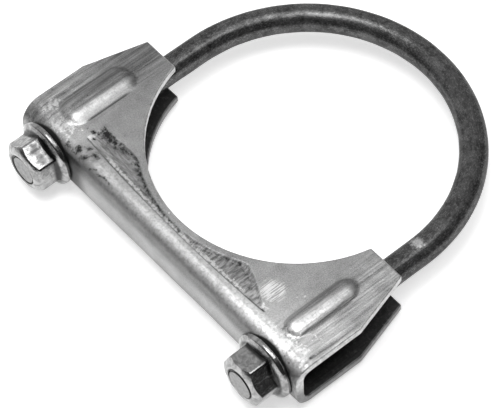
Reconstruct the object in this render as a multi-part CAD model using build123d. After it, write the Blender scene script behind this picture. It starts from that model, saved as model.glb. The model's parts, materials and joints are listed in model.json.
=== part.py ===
from build123d import *
import os
from math import radians, sqrt, tan

# Exhaust saddle clamp: a threaded U-bolt drawn through a pressed channel saddle by two flange nuts.
# Units are mm. The origin is on the pipe axis, midway through the saddle's height.
# +Z runs along the pipe, +Y points from the saddle to the bend, +X from the left nut to the right nut.

# Pipe and U-bolt
PIPE_RADIUS = 44.45
BEND_RADIUS = 48.85
BEND_CENTRE_Y = 2.15
SHANK_RADIUS = 4.35
ROD_END_CHAMFER = 0.42
# The left leg (-1) ends just inside its nut, the right leg (1) stands just proud of its own
LEG_END_Y = {-1: -63.85, 1: -64.25}
THREAD_LENGTH = 31.0
THREAD_FADE = 0.8
THREAD_RUN_OUT = 2.75

# M10 x 1.5 right-hand thread, sides of the tooth at 60 degrees
PITCH = 1.5
FLANK_ANGLE = 30.0
ROD_CREST_RADIUS = 4.925
ROD_PITCH_RADIUS = 4.431
ROD_ROOT_RADIUS = 4.08
NUT_CREST_RADIUS = 4.30
NUT_PITCH_RADIUS = 4.603
NUT_ROOT_RADIUS = 5.08
CUTTER_OVERRUN = 0.07

# Pressed channel saddle
SHEET = 2.7
SADDLE_HALF_HEIGHT = 8.6
SADDLE_OUTER_BEND = 5.0
WEB_OUTER_Y = -54.05
SADDLE_END_X = 61.6
EAR_OUTER_X = 56.0
EAR_FRONT_Y = -10.55
SIDE_CORNER_Y = -30.6
SIDE_CORNER_RADIUS = 3.0
LEG_HOLE_RADIUS = 5.5

# Stiffening rib pressed outwards over each leg
RIB_CROWN_RADIUS = 6.6
RIB_HEIGHT = 1.5
RIB_BACK_Y = -42.6
RIB_FRONT_Y = -25.8

# Shallow die mark between the ribs: a straight crease at the back, a rim left standing along the pipe seat
DIE_MARK_DEPTH = 0.5
DIE_MARK_CREASE_Y = -47.3
DIE_MARK_HALF_LENGTH = 39.3
DIE_MARK_RIM = 1.8
DIE_MARK_CORNER_X = 24.0
DIE_MARK_SIDE = (33.5, -42.3)

# Hex flange nut
NUT_HEIGHT = 9.9
NUT_GAP = 0.05
HEX_ACROSS_FLATS = 15.0
HEX_ANGLE = {"nut_left": 35.6, "nut_right": 6.7}
HEX_CORNER_ROUND = 1.0
FACE_CIRCLE_RADIUS = 6.9
FACE_CHAMFER_ANGLE = 40.0
FLANGE_RADIUS = 10.5
FLANGE_RIM = 1.7
FLANGE_EDGE = 0.5
CONE_TOP_RADIUS = 7.4
CONE_TOP_HEIGHT = 3.1
COUNTERSINK_RADIUS = 5.2
COUNTERSINK_DEPTH = 0.55

# Room added to cutting tools so they pass right through the solid
CUT_ROOM = 1.0


def helical_cutter(inner_radius, inner_half, outer_radius, outer_half, start, length):
    """Trapezoid tooth space swept round +Z, centred on height `start` at angle zero."""
    corners = [
        (inner_radius, 0, start - inner_half),
        (outer_radius, 0, start - outer_half),
        (outer_radius, 0, start + outer_half),
        (inner_radius, 0, start + inner_half),
    ]
    section = make_face(Polyline(*corners, close=True))
    path = Helix(pitch=PITCH, height=length, radius=inner_radius, center=(0, 0, start))
    return sweep(section, path=path, is_frenet=True)


def rod_tooth_space(start, length):
    """Space between two teeth of the rod thread."""
    slope = tan(radians(FLANK_ANGLE))
    outer = ROD_CREST_RADIUS + CUTTER_OVERRUN
    root_half = PITCH / 4 - (ROD_PITCH_RADIUS - ROD_ROOT_RADIUS) * slope
    outer_half = PITCH / 4 + (outer - ROD_PITCH_RADIUS) * slope
    return helical_cutter(ROD_ROOT_RADIUS, root_half, outer, outer_half, start, length)


def nut_tooth_space(start, length):
    """Space between two teeth of the nut thread."""
    slope = tan(radians(FLANK_ANGLE))
    inner = NUT_CREST_RADIUS - CUTTER_OVERRUN
    inner_half = PITCH / 4 + (NUT_PITCH_RADIUS - inner) * slope
    root_half = PITCH / 4 - (NUT_ROOT_RADIUS - NUT_PITCH_RADIUS) * slope
    return helical_cutter(inner, inner_half, NUT_ROOT_RADIUS, root_half, start, length)


def threaded_end():
    """Threaded end of one leg about +Z, with its tip on the plane Z = 0."""
    fade_start = THREAD_LENGTH - THREAD_FADE
    tip = ROD_CREST_RADIUS - ROD_END_CHAMFER
    outline = [
        (0, 0, 0),
        (tip, 0, 0),
        (ROD_CREST_RADIUS, 0, ROD_END_CHAMFER),
        (ROD_CREST_RADIUS, 0, fade_start),
        (SHANK_RADIUS, 0, THREAD_LENGTH),
        (0, 0, THREAD_LENGTH),
    ]
    blank = revolve(make_face(Polyline(*outline, close=True)), Axis.Z)
    start = -PITCH / 2
    return blank - rod_tooth_space(start, THREAD_LENGTH - THREAD_RUN_OUT - start)


def along_y(solid, x, y):
    """Turn a solid built about +Z so it runs along +Y at the given leg."""
    return Pos(x, y, 0) * Rot(-90, 0, 0) * solid


def u_bolt():
    """Round rod bent to a half circle, with two straight threaded legs."""
    left_start = LEG_END_Y[-1] + THREAD_LENGTH
    right_start = LEG_END_Y[1] + THREAD_LENGTH
    right_leg = Line((BEND_RADIUS, right_start, 0), (BEND_RADIUS, BEND_CENTRE_Y, 0))
    bend = CenterArc((0, BEND_CENTRE_Y, 0), BEND_RADIUS, 0, 180)
    left_leg = Line((-BEND_RADIUS, BEND_CENTRE_Y, 0), (-BEND_RADIUS, left_start, 0))
    section = Plane((BEND_RADIUS, right_start, 0), z_dir=(0, 1, 0)) * Circle(SHANK_RADIUS)
    rod = sweep(section, path=Wire([right_leg, bend, left_leg]))
    end = threaded_end()
    for side, end_y in LEG_END_Y.items():
        rod += along_y(end, side * BEND_RADIUS, end_y)
    return rod


def channel():
    """Plain channel: web at the back, two flanges, round bends between them."""
    depth = EAR_FRONT_Y - WEB_OUTER_Y
    inner_bend = SADDLE_OUTER_BEND - SHEET
    outer = Box(
        2 * SADDLE_END_X,
        depth,
        2 * SADDLE_HALF_HEIGHT,
        align=(Align.CENTER, Align.MIN, Align.CENTER),
    )
    outer = fillet(outer.edges().filter_by(Axis.X).group_by(Axis.Y)[0], SADDLE_OUTER_BEND)
    inner = Box(
        2 * SADDLE_END_X + CUT_ROOM,
        depth,
        2 * (SADDLE_HALF_HEIGHT - SHEET),
        align=(Align.CENTER, Align.MIN, Align.CENTER),
    )
    inner = fillet(inner.edges().filter_by(Axis.X).group_by(Axis.Y)[0], inner_bend)
    return Pos(0, WEB_OUTER_Y, 0) * outer - Pos(0, WEB_OUTER_Y + SHEET, 0) * inner


def saddle_outline():
    """Outline of the saddle seen along the pipe, before the pipe seat is cut."""
    corners = [
        (-EAR_OUTER_X, EAR_FRONT_Y),
        (-SADDLE_END_X, SIDE_CORNER_Y),
        (-SADDLE_END_X, WEB_OUTER_Y - CUT_ROOM),
        (SADDLE_END_X, WEB_OUTER_Y - CUT_ROOM),
        (SADDLE_END_X, SIDE_CORNER_Y),
        (EAR_OUTER_X, EAR_FRONT_Y),
    ]
    outline = make_face(Polyline(*corners, close=True))
    side_corners = outline.vertices().group_by(Axis.Y)[1]
    return fillet(side_corners, SIDE_CORNER_RADIUS)


def rib(crown_radius):
    """Round-ended bar whose crown stands RIB_HEIGHT above the outer face of a flange."""
    length = RIB_FRONT_Y - RIB_BACK_Y
    middle = (RIB_FRONT_Y + RIB_BACK_Y) / 2
    bar = Pos(0, middle, 0) * Rot(90, 0, 0) * Cylinder(crown_radius, length)
    for end in (RIB_BACK_Y, RIB_FRONT_Y):
        bar += Pos(0, end, 0) * Sphere(crown_radius)
    return bar


def die_mark():
    """Outline of the die mark: crease, two curved sides and an arc that follows the pipe seat."""
    rim_radius = PIPE_RADIUS + DIE_MARK_RIM
    corner_y = -sqrt(rim_radius**2 - DIE_MARK_CORNER_X**2)
    side_x, side_y = DIE_MARK_SIDE
    left_end = (-DIE_MARK_HALF_LENGTH, DIE_MARK_CREASE_Y)
    right_end = (DIE_MARK_HALF_LENGTH, DIE_MARK_CREASE_Y)
    left_corner = (-DIE_MARK_CORNER_X, corner_y)
    right_corner = (DIE_MARK_CORNER_X, corner_y)
    crease = Line(left_end, right_end)
    right_side = ThreePointArc(right_end, (side_x, side_y), right_corner)
    front = ThreePointArc(right_corner, (0, -rim_radius), left_corner)
    left_side = ThreePointArc(left_corner, (-side_x, side_y), left_end)
    return make_face(Wire([crease, right_side, front, left_side]))


def saddle():
    """Channel with pipe seat, ribs, die marks and leg holes."""
    body = channel()
    height = 2 * SADDLE_HALF_HEIGHT
    rib_axis = SADDLE_HALF_HEIGHT + RIB_HEIGHT - RIB_CROWN_RADIUS
    room = Box(
        2 * RIB_CROWN_RADIUS,
        2 * SADDLE_END_X,
        RIB_CROWN_RADIUS + CUT_ROOM,
        align=(Align.CENTER, Align.CENTER, Align.MIN),
    )
    ridge = Pos(0, 0, rib_axis) * rib(RIB_CROWN_RADIUS) & Pos(0, 0, SADDLE_HALF_HEIGHT - SHEET / 2) * room
    hollow = Pos(0, 0, rib_axis) * rib(RIB_CROWN_RADIUS - SHEET)
    for side in (-1, 1):
        for face in (0, 180):
            turn = Pos(side * BEND_RADIUS, 0, 0) * Rot(0, face, 0)
            body = body + turn * ridge - turn * hollow
    mark = extrude(Pos(0, 0, SADDLE_HALF_HEIGHT - DIE_MARK_DEPTH) * die_mark(), RIB_HEIGHT + DIE_MARK_DEPTH)
    body = body - mark - mirror(mark, about=Plane.XY)
    body = body & Pos(0, 0, -height) * extrude(saddle_outline(), 2 * height)
    body = body - Cylinder(PIPE_RADIUS, 2 * height)
    for side in (-1, 1):
        body -= Pos(side * BEND_RADIUS, WEB_OUTER_Y, 0) * Rot(90, 0, 0) * Cylinder(LEG_HOLE_RADIUS, 4 * SHEET)
    return body


def flange_nut(hex_angle):
    """Hex flange nut about +Z: outer face at Z = 0, bearing face at Z = NUT_HEIGHT."""
    corner_radius = HEX_ACROSS_FLATS / sqrt(3)
    drop = (corner_radius + CUT_ROOM - FACE_CIRCLE_RADIUS) * tan(radians(FACE_CHAMFER_ANGLE))
    hexagon = fillet(RegularPolygon(corner_radius, 6).vertices(), HEX_CORNER_ROUND)
    bar = Rot(0, 0, hex_angle) * extrude(hexagon, NUT_HEIGHT - FLANGE_RIM)
    turned = [
        (0, 0, 0),
        (FACE_CIRCLE_RADIUS, 0, 0),
        (corner_radius + CUT_ROOM, 0, drop),
        (corner_radius + CUT_ROOM, 0, NUT_HEIGHT),
        (0, 0, NUT_HEIGHT),
    ]
    bar = bar & revolve(make_face(Polyline(*turned, close=True)), Axis.Z)
    rim_top = NUT_HEIGHT - FLANGE_RIM
    profile = [
        (0, 0, NUT_HEIGHT - CONE_TOP_HEIGHT),
        (CONE_TOP_RADIUS, 0, NUT_HEIGHT - CONE_TOP_HEIGHT),
        (FLANGE_RADIUS - FLANGE_EDGE, 0, rim_top),
        (FLANGE_RADIUS, 0, rim_top + FLANGE_EDGE),
        (FLANGE_RADIUS, 0, NUT_HEIGHT - FLANGE_EDGE),
        (FLANGE_RADIUS - FLANGE_EDGE, 0, NUT_HEIGHT),
        (0, 0, NUT_HEIGHT),
    ]
    blank = bar + revolve(make_face(Polyline(*profile, close=True)), Axis.Z)
    bore = [
        (0, 0, -CUT_ROOM),
        (COUNTERSINK_RADIUS, 0, -CUT_ROOM),
        (COUNTERSINK_RADIUS, 0, 0),
        (NUT_CREST_RADIUS, 0, COUNTERSINK_DEPTH),
        (NUT_CREST_RADIUS, 0, NUT_HEIGHT - COUNTERSINK_DEPTH),
        (COUNTERSINK_RADIUS, 0, NUT_HEIGHT),
        (COUNTERSINK_RADIUS, 0, NUT_HEIGHT + CUT_ROOM),
        (0, 0, NUT_HEIGHT + CUT_ROOM),
    ]
    return blank - revolve(make_face(Polyline(*bore, close=True)), Axis.Z)


def placed_nut(name, side):
    """Nut on its leg, its thread in step with the rod's."""
    outer_face_y = WEB_OUTER_Y - NUT_GAP - NUT_HEIGHT
    recess = LEG_END_Y[side] - outer_face_y
    nut = flange_nut(HEX_ANGLE[name]) - nut_tooth_space(recess - PITCH, NUT_HEIGHT + 2 * PITCH)
    return along_y(nut, side * BEND_RADIUS, outer_face_y)


def main():
    os.makedirs("parts", exist_ok=True)
    nodes = {
        "saddle": saddle(),
        "u_bolt": u_bolt(),
        "nut_left": placed_nut("nut_left", -1),
        "nut_right": placed_nut("nut_right", 1),
    }
    for name, solid in nodes.items():
        export_step(solid, f"parts/{name}.step")


main()
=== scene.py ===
import json
from math import asin, atan2, ceil, cos, hypot, pi, radians, sin, sqrt, tan

import bmesh
import bpy
import numpy as np
from mathutils import Matrix, Vector


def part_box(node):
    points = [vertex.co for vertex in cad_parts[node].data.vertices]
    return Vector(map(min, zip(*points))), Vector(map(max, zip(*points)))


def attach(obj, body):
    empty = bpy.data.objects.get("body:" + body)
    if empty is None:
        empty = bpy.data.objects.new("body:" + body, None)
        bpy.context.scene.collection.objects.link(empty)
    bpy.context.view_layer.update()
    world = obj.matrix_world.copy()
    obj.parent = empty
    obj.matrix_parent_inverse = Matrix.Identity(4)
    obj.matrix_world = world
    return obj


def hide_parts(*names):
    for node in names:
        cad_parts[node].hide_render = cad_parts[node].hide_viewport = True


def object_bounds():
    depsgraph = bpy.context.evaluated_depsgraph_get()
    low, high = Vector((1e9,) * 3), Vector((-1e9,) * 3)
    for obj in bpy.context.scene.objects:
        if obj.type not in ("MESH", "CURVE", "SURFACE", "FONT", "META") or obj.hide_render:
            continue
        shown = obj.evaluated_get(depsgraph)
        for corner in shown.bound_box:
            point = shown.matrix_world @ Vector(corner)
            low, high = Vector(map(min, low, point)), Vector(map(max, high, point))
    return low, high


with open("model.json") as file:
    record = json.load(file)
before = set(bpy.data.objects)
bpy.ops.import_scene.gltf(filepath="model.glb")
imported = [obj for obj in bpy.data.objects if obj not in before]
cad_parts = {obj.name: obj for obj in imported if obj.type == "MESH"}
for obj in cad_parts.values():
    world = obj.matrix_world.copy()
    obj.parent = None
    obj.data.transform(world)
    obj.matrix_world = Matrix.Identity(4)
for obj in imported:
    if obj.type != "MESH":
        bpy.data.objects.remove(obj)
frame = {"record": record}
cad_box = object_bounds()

# Exhaust saddle clamp. Lengths are in mm and turned to metres when a mesh is made.
# The row frame: origin on the pipe axis, +Z along the pipe, +Y to the bend, +X to the right nut.
MM = 0.001


def box_mm(node):
    """Lowest and highest corner of a CAD node, in mm."""
    low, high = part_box(node)
    return np.array(low) / MM, np.array(high) / MM


# Sizes read from the frame
SADDLE_LOW, SADDLE_HIGH = box_mm("saddle")
ROD_LOW, ROD_HIGH = box_mm("u_bolt")
NUT_LOW, NUT_HIGH = box_mm("nut_right")
PIPE_R = frame["record"]["mounts"][0]["dims"]["r_mm"]
LEG_X = (NUT_LOW[0] + NUT_HIGH[0]) / 2
ROD_CREST_R = ROD_HIGH[2]

# Saddle. EDGE is the rounding of its cut edges, and the column counts are for half of its front edge.
SHEET = 2.7
EDGE = 0.45
END_X = SADDLE_HIGH[0]
WEB_Y = SADDLE_LOW[1]
FRONT_Y = SADDLE_HIGH[1]
EAR_X = 56.0
SIDE_CORNER_Y = -30.6
HOLE_R = 5.5
SEAT_COLUMNS = 100
TIP_COLUMNS = 40
EAR_COLUMNS = 32

# Ribs, pressed up over each leg. The left foot is further from the ridge on the left rib (-1) than on
# the right one (1).
RIB_HEIGHT = 1.5
RIB_HALF = 4.25
RIB_LEFT_FOOT = {-1: 6.6, 1: 3.3}
RIB_BACK_Y = -42.6
RIB_FRONT_Y = -25.8
RIB_POWER = 2.6
RIB_EASY_POWER = 1.7
RIB_FOOT = 0.10
HALF_HEIGHT = SADDLE_HIGH[2] - RIB_HEIGHT

# Bend between web and flange, a superellipse that opens towards the left end
BEND_REACH = 5.85
BEND_POWER = 2.41
END_OPENING = 1.9
END_OPENING_X = 48
END_POWER_LOSS = 0.2

# Die mark: a shallow sunk field behind the pipe seat, in front of a curved crease
CREASE_MID_Y = -48.0
CREASE_SLOPE = -0.0095
CREASE_CURVE = 0.00094
CREASE_HALF = 39.3
MARK_BLUNT_X = -40.2
MARK_BLUNT_Y = -41.0
MARK_RIM = 1.8
MARK_CORNER_X = 24.0
MARK_BULGE = 0.8
MARK_DEPTH = 0.5
# Where the sink starts and is full: distance inside the front outline, and in front of the crease
MARK_SLOPE = (-0.1, 1.3)
CREASE_WALL = (-0.12, 0.22)

# Unevenness of the pressed sheet as (height, size), and how far the skin lies below the CAD's surface
SHEET_WAVES = (0.05, 26)
SHEET_RIPPLES = (0.02, 7)
SKIN_DROP = 0.06

# U-bolt. The left leg ends a little further inside than the right.
SHANK_R = 4.35
BEND_CENTRE_Y = ROD_HIGH[1] - (LEG_X + SHANK_R)
LEG_END_Y = {-1: ROD_LOW[1] + 0.4, 1: ROD_LOW[1]}
ROD_CHAMFER = 0.42
THREAD_LENGTH = 31.0
RUN_OUT_START = 27.6
TIP_DIP = 0.05
PITCH = 1.5
FLANK_ANGLE = 30
CREST_HALF = 0.06
THREAD_SOFTNESS = 0.07
ROD_ROOT_R = 4.08
DENT = 0.035
FINE_DENT = 0.03
ROD_DROP = 0.05
AROUND = 96

# Nut
NUT_HEIGHT = NUT_HIGH[1] - NUT_LOW[1]
NUT_FACE_Y = NUT_LOW[1]
ACROSS_FLATS = 15.0
CORNER_ROUND = 1.0
FACE_R = 5.5
FACE_POWER = 2.1
FACE_DROP = {"nut_left": 0.9, "nut_right": 0.5}
CORNER_DROP = 0.85
FLANGE_INSET = 0.006
FLANGE_R = (NUT_HIGH[0] - NUT_LOW[0]) / 2 - FLANGE_INSET
FLANGE_RIM = 1.7
BEARING_RINGS = (9.6, 8.6, 7.4, 6.2)
CONE_TOP_R = 7.4
CONE_TOP = 3.1
FILLET_REACH = 0.5
FILLET_HEIGHT = 0.55
RIM_ROUND = 0.62
RIM_LEAN = 0.2
RIM_BAND = 0.25
RIM_EDGE = 0.45
SINK_R = 5.15
SINK_LAND = 0.08
SINK_DEPTH = 0.5
NUT_CREST_R = 4.30
NUT_ROOT_R = 5.08
HEX_TURN = {"nut_left": 35.6, "nut_right": 6.7}


# ---------------------------------------------------------------- mesh helpers

def grid_faces(columns, rows, wrap=False):
    """Quads of a grid whose vertex (i, j) has index i * rows + j."""
    last = columns if wrap else columns - 1
    i, j = np.meshgrid(np.arange(last), np.arange(rows - 1), indexing="ij")
    i = i.ravel()
    j = j.ravel()
    k = (i + 1) % columns
    return np.stack([i * rows + j, k * rows + j, k * rows + j + 1, i * rows + j + 1], 1)


def make_object(name, points, faces, masks=None):
    """Mesh object from points in mm, with optional per-vertex masks for its material."""
    mesh = bpy.data.meshes.new(name)
    mesh.from_pydata((np.asarray(points) * MM).tolist(), [], [list(map(int, f)) for f in faces])
    for key, values in (masks or {}).items():
        layer = mesh.attributes.new(key, "FLOAT", "POINT")
        layer.data.foreach_set("value", np.asarray(values, np.float32))
    obj = bpy.data.objects.new(name, mesh)
    bpy.context.scene.collection.objects.link(obj)
    return obj


def clean(obj, sharp_degrees, merge=0.0005):
    """Merges coincident vertices, drops collapsed faces, turns faces outwards and marks sharp edges."""
    bm = bmesh.new()
    bm.from_mesh(obj.data)
    bmesh.ops.remove_doubles(bm, verts=bm.verts, dist=merge * MM)
    bmesh.ops.dissolve_degenerate(bm, edges=bm.edges, dist=merge * MM)
    bmesh.ops.recalc_face_normals(bm, faces=bm.faces)
    limit = radians(sharp_degrees)
    for face in bm.faces:
        face.smooth = True
    for edge in bm.edges:
        edge.smooth = len(edge.link_faces) == 2 and edge.calc_face_angle(0) < limit
    bm.to_mesh(obj.data)
    bm.free()


def smooth_max(a, b, k):
    """Greater of two values, rounded off over about k where they are equal."""
    return 0.5 * (a + b + np.sqrt((a - b) ** 2 + k * k))


def smooth_min(a, b, k):
    """Lesser of two values, rounded off in the same way."""
    return -smooth_max(-a, -b, k)


def smooth_step(low, high, x):
    """Smooth change from 0 at low to 1 at high."""
    t = np.clip((x - low) / (high - low), 0, 1)
    return t * t * (3 - 2 * t)


def wander(x, y, seed, size):
    """Smooth low random surface between about -1 and 1, from a few seeded waves."""
    draw = np.random.default_rng(seed)
    total = np.zeros_like(np.asarray(x, float))
    for _ in range(9):
        angle = draw.uniform(0, 2 * pi)
        wave = draw.uniform(0.6, 1.7) * 2 * pi / size
        phase = draw.uniform(0, 2 * pi)
        total = total + np.sin(wave * (x * cos(angle) + y * sin(angle)) + phase)
    return total / 5


# ---------------------------------------------------------------- saddle

def saddle_front():
    """Front edge of a flange, set in by EDGE, from x = 0 to the +X end: points and outward directions."""
    seat = PIPE_R + EDGE
    front = FRONT_Y - EDGE
    tip = sqrt(seat**2 - front**2)
    side = np.array([END_X - EAR_X, SIDE_CORNER_Y - FRONT_Y])
    side_out = np.array([-side[1], side[0]]) / np.hypot(*side)
    line = side_out @ np.array([EAR_X, FRONT_Y]) - EDGE
    ear = (line - side_out[1] * front) / side_out[0]
    end = END_X - EDGE
    corner = (line - side_out[0] * end) / side_out[1]
    angle = np.linspace(0, asin(tip / seat), SEAT_COLUMNS)
    points = [(seat * sin(a), -seat * cos(a)) for a in angle]
    outs = [(-sin(a), cos(a)) for a in angle]
    for t in np.linspace(0, 1, TIP_COLUMNS)[1:]:
        points.append((tip + t * (ear - tip), front))
        outs.append((0, 1))
    for t in np.linspace(0, 1, EAR_COLUMNS)[1:]:
        points.append((ear + t * (end - ear), front + t * (corner - front)))
        outs.append(tuple(side_out))
    # at the three corners the rounded edge leaves along the mitre
    outs[SEAT_COLUMNS - 1] = (-0.62, 0.95)
    outs[SEAT_COLUMNS + TIP_COLUMNS - 2] = (0.62, 0.85)
    outs[-1] = (1.0, 0.13)
    return np.array(points), np.array(outs)


def rib_across(x):
    """Signed distance from a rib's ridge, scaled so that its feet are at plus and minus RIB_HALF."""
    across = x - np.where(x < 0, -LEG_X, LEG_X)
    left_side = np.where(x < 0, RIB_HALF / RIB_LEFT_FOOT[-1], RIB_HALF / RIB_LEFT_FOOT[1])
    return np.where(across < 0, across * left_side, across)


def rib_rise(x, y):
    """Height of the pressed rib above the flat flange."""
    across = rib_across(x)
    away = np.hypot(across, y - np.clip(y, RIB_BACK_Y, RIB_FRONT_Y))
    # the left rib's inner side slopes evenly down to a crisp foot
    easy = smooth_step(0, 1, across / np.maximum(away, 1e-6)) * (x < 0)
    power = RIB_POWER + (RIB_EASY_POWER - RIB_POWER) * easy
    rise = RIB_HEIGHT * (1 - np.clip(away / RIB_HALF, 0, 1.4) ** power)
    return smooth_max(rise, 0, RIB_FOOT) - RIB_FOOT / 2


def crease_line(x):
    """Y of the die mark's crease."""
    return CREASE_MID_Y + CREASE_SLOPE * x + CREASE_CURVE * x * x


def mark_inside(x, y):
    """Distance inside the die mark's front outline and in front of its crease, negative outside."""
    behind_rim = np.hypot(x, y) - (PIPE_R + MARK_RIM)
    corner_y = -sqrt((PIPE_R + MARK_RIM) ** 2 - MARK_CORNER_X**2)

    def side(end_x, end_y):
        run = np.array([end_x - MARK_CORNER_X, end_y - corner_y])
        length = np.hypot(*run)
        across = np.abs(x) - MARK_CORNER_X
        forward = y - corner_y
        along = (across * run[0] + forward * run[1]) / length / length
        bulge = MARK_BULGE * np.clip(4 * along * (1 - along), 0, 1)
        return (across * run[1] - forward * run[0]) / length + bulge

    pointed = side(CREASE_HALF, crease_line(CREASE_HALF))
    blunt = smooth_min(side(-MARK_BLUNT_X, MARK_BLUNT_Y), x - MARK_BLUNT_X, 0.8)
    front = smooth_min(behind_rim, np.where(x < 0, blunt, pointed), 0.6)
    return front, y - crease_line(x)


def mark_sink(x, y):
    """How far the die mark lowers the flange."""
    front, crease = mark_inside(x, y)
    return MARK_DEPTH * smooth_step(*MARK_SLOPE, front) * smooth_step(*CREASE_WALL, crease)


def sheet_section(x):
    """Rows of the bent sheet from the middle of the web to the start of a flange: y, z and normal."""
    rows = []
    opening = smooth_step(END_OPENING_X, END_X, -x)
    reach = BEND_REACH + END_OPENING * opening
    power = BEND_POWER - END_POWER_LOSS * opening
    flat = HALF_HEIGHT - reach
    for t in np.linspace(0, 1, 7)[:-1]:
        rows.append((WEB_Y, t * flat, -1.0, 0.0))
    for a in np.linspace(0, pi / 2, 29):
        back = max(cos(a), 1e-6) ** (2 / power)
        up = max(sin(a), 1e-6) ** (2 / power)
        ny = -(back ** (power - 1))
        nz = up ** (power - 1)
        size = hypot(ny, nz)
        rows.append((WEB_Y + reach * (1 - back), flat + reach * up, ny / size, nz / size))
    return np.array(rows)


def half_saddle_rows(front_y, x):
    """Outer surface of one column from the middle of the web to the top flange's front edge."""
    section = sheet_section(x)
    start = section[-1, 0]
    crease = max(crease_line(x), start + 0.2)
    back = np.linspace(start, crease - 0.18, 4)[1:]
    close = crease + np.array([-0.1, -0.03, 0.03, 0.1, 0.18, 0.28])
    rest = crease + 0.28 + (front_y - crease - 0.28) * np.linspace(0, 1, 70)[1:]
    y = np.concatenate([section[:, 0], back, close, rest])
    flange = len(y) - len(section)
    z = np.concatenate([section[:, 1], np.full(flange, HALF_HEIGHT)])
    ny = np.concatenate([section[:, 2], np.zeros(flange)])
    nz = np.concatenate([section[:, 3], np.ones(flange)])
    return y, z, ny, nz


def saddle_sheet():
    """Outer points, normals and boundary directions of the whole sheet, as arrays (column, row, 3)."""
    points, outs = saddle_front()
    x = np.concatenate([-points[:0:-1, 0], points[:, 0]])
    front = np.concatenate([points[:0:-1, 1], points[:, 1]])
    mirrored = outs[:0:-1] * np.array([-1, 1])
    outs = np.concatenate([mirrored, outs])
    flip = np.array([1, 1, -1])
    columns = []
    normals = []
    for column_x, front_y in zip(x, front):
        y, z, ny, nz = half_saddle_rows(front_y, column_x)
        top = np.stack([np.full_like(y, column_x), y, z], 1)
        top_n = np.stack([np.zeros_like(y), ny, nz], 1)
        columns.append(np.concatenate([(top * flip)[:0:-1], top]))
        normals.append(np.concatenate([(top_n * flip)[:0:-1], top_n]))
    return np.array(columns), np.array(normals), outs


def line_distance(x, y, line):
    """Distance in the XY plane to a line through points."""
    nearest = np.full_like(x, 1e3)
    for (ax, ay), (bx, by) in zip(line[:-1], line[1:]):
        dx = bx - ax
        dy = by - ay
        t = np.clip(((x - ax) * dx + (y - ay) * dy) / (dx * dx + dy * dy), 0, 1)
        nearest = np.minimum(nearest, np.hypot(x - ax - t * dx, y - ay - t * dy))
    return nearest


def spots(x, y, places):
    """Greatest of several soft round spots, each (x, y, radius, strength)."""
    total = np.zeros_like(x)
    for px, py, radius, strength in places:
        total = np.maximum(total, strength * np.exp(-((x - px) ** 2 + (y - py) ** 2) / radius**2))
    return total


# Front edge of the grime left in the die mark
DIRT_EDGE = ((-39.5, -41.5), (-35.5, -41.2), (-32, -40.6), (-28.2, -39.6), (-23.6, -40.2), (-19.9, -42.1),
             (-16, -43.8), (-12, -44.9), (-7, -45.8), (0, -46.7), (8, -46.2), (14, -44.9), (19, -42.9),
             (23, -41.5), (27.5, -42.3))

# Single spots of grime on the left: x, y, radius, strength
LEFT_DIRT = (
    (-39.0, -40.6, 1.8, 1.15), (-37.0, -41.4, 1.7, 1.4), (-35.2, -41.2, 1.3, 1.3),
    (-40.4, -43.4, 1.2, 1.0), (-38.6, -50.6, 2.1, 1.1), (-35.3, -51.0, 1.7, 1.0),
    (-36.6, -48.2, 1.4, 1.0), (-33.0, -48.9, 1.5, 1.2), (-42.0, -51.4, 1.9, 0.9),
    (-33.8, -46.6, 1.2, 0.7), (-51, -36.8, 0.6, 0.7), (-50.6, -39.7, 0.7, 0.7),
    (-47.6, -21.8, 1.1, 0.8), (-33.4, -37.2, 0.9, 0.55), (-38.2, -44.6, 1.0, 0.9),
    (-42.6, -43.9, 0.7, 0.7), (-57.5, -51.0, 1.6, 0.6), (-60.4, -43.0, 0.7, 0.6),
)

# The same on the right
RIGHT_DIRT = (
    (22.9, -41.6, 1.2, 0.9), (19.4, -42.9, 1.1, 0.9), (28.6, -42.8, 1.5, 0.9), (31.0, -44.2, 1.3, 0.85),
    (15.0, -44.4, 1.1, 0.8), (49.4, -47.6, 0.7, 0.9), (55.5, -52.2, 1.9, 0.6), (58.3, -50.5, 1.6, 0.6),
    (8.8, -51.0, 0.6, 0.5), (12.8, -50.3, 0.5, 0.5), (53.8, -50.0, 0.45, 0.9), (48.6, -21.6, 1.8, 0.62),
    (59.8, -47.2, 0.5, 0.9),
)

# Line of a black scuff on the bend
SCUFF = ((-31.0, -52.1), (-29.4, -51.3), (-27.6, -51.8), (-25.8, -51.2), (-23.8, -51.6), (-20.0, -50.8))
SCUFF_HALF = 0.55

# Spots of bare bright zinc: x, y, radius, strength
PALE_SPOTS = (
    (-56.1, -45.4, 2.8, 0.7), (-55.6, -39.4, 2.0, 0.45), (-46.2, -47.4, 2.6, 0.75),
    (-49.0, -49.5, 3.2, 0.8), (-44.6, -50.0, 2.2, 0.7), (-56.5, -47.6, 2.0, 0.7),
    (-53.0, -46.8, 1.6, 0.5), (-43.5, -46.0, 1.6, 0.5), (45.0, -49.5, 3.4, 0.6),
    (51.5, -49.0, 4.0, 0.85), (56.5, -47.5, 3.0, 0.8), (48.5, -51.5, 3.0, 0.6), (-3.6, -45.2, 0.5, 1.0),
    (43.4, -35.0, 0.45, 0.9), (42.3, -37.2, 0.4, 0.7), (-24.0, -39.3, 0.6, 0.6),
    (38.4, -46.0, 1.2, 0.8), (55.0, -42.0, 1.8, 0.5),
)

# Wide soft changes of the zinc's lightness: x, y, radius, change
TONE_SPOTS = (
    (-54, -16, 13, -0.36), (-41.5, -47.5, 5, 0.40), (58.5, -38, 5, 0.30), (44, -18, 9, -0.08),
    (52, -47, 8, 0.28), (38, -51, 11, 0.22), (22, -44.5, 6, -0.12), (-20, -51, 7, -0.10),
    (49, -27, 5, -0.12), (-53, -30, 5, -0.12),
)
TONE_BASE = 0.765
# Painted shade on the web and lower bend: its level, a dark stripe about a height, and shade beside the left
# nut
WEB_SHADE_LEVEL = 0.82
WEB_STRIPE_SHADE = -0.32
WEB_STRIPE_Z = 5.0
BESIDE_NUT_SHADE = -0.72
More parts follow.
